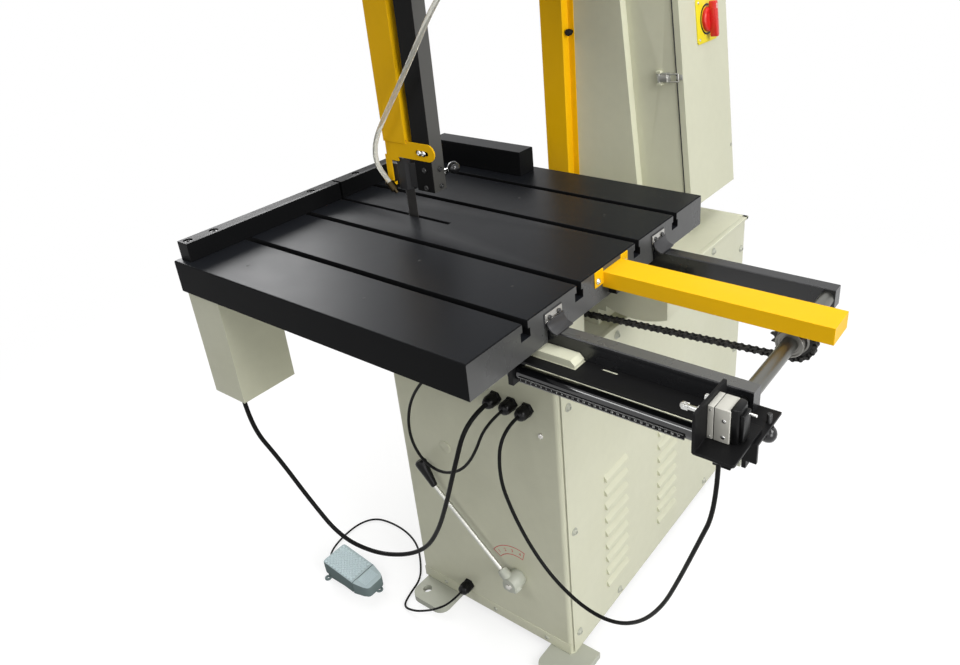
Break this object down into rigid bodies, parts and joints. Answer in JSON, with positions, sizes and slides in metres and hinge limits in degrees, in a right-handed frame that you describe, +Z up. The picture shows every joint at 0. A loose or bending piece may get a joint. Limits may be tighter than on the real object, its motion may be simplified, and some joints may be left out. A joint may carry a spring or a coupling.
{
  "type": "vertical band saw",
  "caption": "Floor-standing vertical metal band saw with a chain-fed sliding slotted table, guarded blade, column, cabinet and foot pedal.",
  "frame": {"origin": "centre of the four floor anchor holes, at floor level", "axes": "+Z up, +X the way the table feeds, +Y from the blade towards the column"},
  "size_m": [1.1791, 1.191, 2.04],
  "materials": {
    "cream_paint": "satin cream-grey machine enamel",
    "yellow_paint": "satin safety yellow enamel",
    "black_steel": "blackened steel",
    "table_steel": "ground and blackened steel plate",
    "bare_steel": "bare bright steel",
    "cast_iron": "painted casting",
    "black_plastic": "black moulded plastic",
    "grey_plastic": "light grey moulded plastic",
    "red_plastic": "red moulded plastic",
    "green_plastic": "green moulded plastic",
    "black_rubber": "black cable sheath and rubber",
    "pedal_casting": "grey painted aluminium casting",
    "clear_hose": "translucent plastic hose"
  },
  "bodies": {
    "frame": {"base_cabinet": "cream_paint", "base_feet": "cream_paint", "side_panel": "cream_paint", "frame_fasteners": "black_steel", "column": "cream_paint", "upper_housing": "cream_paint", "return_guard": "yellow_paint", "electrical_cabinet": "cream_paint", "gearbox": "cast_iron", "motor": "cast_iron", "blade": "bare_steel", "lower_guide": "black_steel", "guide_rails": "black_steel", "cross_shaft": "bare_steel", "feed_gear_housing": "cream_paint", "lower_chain": "black_steel", "bar_brackets": "black_steel", "stop_bar": "black_steel", "scale_strip": "bare_steel", "pedal_base": "pedal_casting", "cable_glands": "black_plastic", "control_cable": "black_rubber", "sensor_cable": "black_rubber", "switch_cable": "black_rubber", "pedal_cable": "black_rubber", "coolant_hose": "clear_hose"},
    "table": {"table": "table_steel", "pusher_bar": "black_steel", "fence_bar": "black_steel", "way_wipers": "black_rubber", "chain_guard": "yellow_paint", "table_screws": "black_steel", "control_box": "cream_paint", "upper_chain": "black_steel"},
    "lower_wheel": {"lower_wheel": "cast_iron"},
    "upper_wheel": {"upper_wheel": "cast_iron"},
    "tension_carriage": {"tension_carriage": "cast_iron"},
    "tension_handwheel": {"tension_handwheel": "black_plastic"},
    "post_handwheel": {"post_handwheel": "black_plastic"},
    "idler_sprocket": {"idler_sprocket": "bare_steel"},
    "drive_sprocket": {"drive_sprocket": "bare_steel"},
    "guide_post": {"guide_post": "black_steel", "guard_bracket": "yellow_paint", "blade_guard": "yellow_paint", "guide_block": "black_steel"},
    "guide_lever": {"guide_lever": "black_plastic"},
    "lower_door": {"lower_door": "cream_paint"},
    "upper_door": {"upper_door": "cream_paint"},
    "cabinet_door": {"cabinet_door": "cream_paint", "switch_plate": "yellow_paint"},
    "main_switch": {"main_switch": "red_plastic"},
    "cabinet_clasp": {"cabinet_clasp": "bare_steel"},
    "gear_lever": {"gear_lever": "bare_steel"},
    "switch_carriage": {"switch_carriage": "black_steel", "limit_switch": "grey_plastic"},
    "switch_plunger": {"switch_plunger": "bare_steel"},
    "clamp_knob": {"clamp_knob": "black_plastic"},
    "start_button": {"start_button": "green_plastic"},
    "stop_button": {"stop_button": "red_plastic"},
    "pedal_treadle": {"pedal_treadle": "pedal_casting"}
  },
  "joints": [
    {"name": "table_feed", "type": "slide", "parent": "frame", "child": "table", "axis": [1, 0, 0], "range_m": [0, 0.2159], "deforming": ["control_cable"]},
    {"name": "lower_wheel_spin", "type": "hinge", "parent": "frame", "child": "lower_wheel", "pos_m": [-0.2265, -0.05, 0.46], "axis": [1, 0, 0], "continuous": true},
    {"name": "tension_slide", "type": "slide", "parent": "frame", "child": "tension_carriage", "axis": [0, 0, 1], "range_m": [-0.025, 0]},
    {"name": "upper_wheel_spin", "type": "hinge", "parent": "tension_carriage", "child": "upper_wheel", "pos_m": [-0.2265, -0.05, 1.745], "axis": [1, 0, 0], "continuous": true},
    {"name": "tension_handwheel_turn", "type": "hinge", "parent": "frame", "child": "tension_handwheel", "pos_m": [-0.1, -0.05, 1.41], "axis": [0, 0, 1], "range_deg": [-905, 5]},
    {"name": "post_lift", "type": "slide", "parent": "frame", "child": "guide_post", "axis": [0, 0, 1], "range_m": [-0.018, 0.29], "deforming": ["coolant_hose"]},
    {"name": "post_handwheel_turn", "type": "hinge", "parent": "frame", "child": "post_handwheel", "pos_m": [-0.1, -0.424, 1.51], "axis": [0, 1, 0], "range_deg": [-54, 833]},
    {"name": "idler_spin", "type": "hinge", "parent": "frame", "child": "idler_sprocket", "pos_m": [0.571, -0.304, 0.878], "axis": [0, 1, 0], "range_deg": [-2, 371]},
    {"name": "drive_spin", "type": "hinge", "parent": "frame", "child": "drive_sprocket", "pos_m": [0.121, -0.304, 0.838], "axis": [0, 1, 0], "range_deg": [-2, 522]},
    {"name": "guide_lever_turn", "type": "hinge", "parent": "guide_post", "child": "guide_lever", "pos_m": [-0.16, -0.277, 1.032], "axis": [0, 1, 0], "range_deg": [-90, 30]},
    {"name": "lower_door_swing", "type": "hinge", "parent": "frame", "child": "lower_door", "pos_m": [-0.257, 0.263, 0.455], "axis": [0, 0, -1], "range_deg": [0, 95]},
    {"name": "upper_door_swing", "type": "hinge", "parent": "frame", "child": "upper_door", "pos_m": [-0.281, 0.392, 1.74], "axis": [0, 0, -1], "range_deg": [0, 95]},
    {"name": "cabinet_door_swing", "type": "hinge", "parent": "frame", "child": "cabinet_door", "pos_m": [0.09208, 0.49, 1.11945], "axis": [-0.0992, 0, 0.9951], "range_deg": [0, 110]},
    {"name": "main_switch_turn", "type": "hinge", "parent": "cabinet_door", "child": "main_switch", "pos_m": [0.09091, 0.374, 1.23189], "axis": [0.9951, 0, 0.0992], "range_deg": [0, 90]},
    {"name": "clasp_swing", "type": "hinge", "parent": "frame", "child": "cabinet_clasp", "pos_m": [0.04053, 0.242, 1.12235], "axis": [0.0992, 0, -0.9951], "range_deg": [0, 120]},
    {"name": "gear_shift", "type": "hinge", "parent": "frame", "child": "gear_lever", "pos_m": [0.058, -0.443, 0.182], "axis": [0, 1, 0], "range_deg": [-30, 30]},
    {"name": "carriage_slide", "type": "slide", "parent": "frame", "child": "switch_carriage", "axis": [1, 0, 0], "range_m": [-0.042, 0.003], "deforming": ["switch_cable"]},
    {"name": "plunger_press", "type": "slide", "parent": "switch_carriage", "child": "switch_plunger", "axis": [1, 0, 0], "range_m": [0, 0.006], "stiffness_N_per_m": 400, "springref_m": -0.004},
    {"name": "clamp_knob_turn", "type": "hinge", "parent": "frame", "child": "clamp_knob", "pos_m": [0.611, -0.504, 0.842], "axis": [0, 0, 1], "range_deg": [-180, 180]},
    {"name": "start_press", "type": "slide", "parent": "table", "child": "start_button", "axis": [1, 0, 0], "range_m": [0, 0.004], "stiffness_N_per_m": 600, "springref_m": -0.004},
    {"name": "stop_press", "type": "slide", "parent": "table", "child": "stop_button", "axis": [1, 0, 0], "range_m": [0, 0.006], "stiffness_N_per_m": 900, "springref_m": -0.004},
    {"name": "treadle_press", "type": "hinge", "parent": "frame", "child": "pedal_treadle", "pos_m": [-0.372, -0.5155, 0.024], "axis": [0, -1, 0], "range_deg": [0, 7], "stiffness_Nm_per_rad": 6, "springref_deg": -6.88}
  ],
  "couplings": [
    {"joint": "idler_spin", "follows": "table_feed", "rad_per_m": 29.102},
    {"joint": "drive_spin", "follows": "table_feed", "rad_per_m": 41.228},
    {"joint": "upper_wheel_spin", "follows": "lower_wheel_spin", "ratio": 1},
    {"joint": "tension_handwheel_turn", "follows": "tension_slide", "rad_per_m": 628.32},
    {"joint": "post_handwheel_turn", "follows": "post_lift", "rad_per_m": 50}
  ]
}
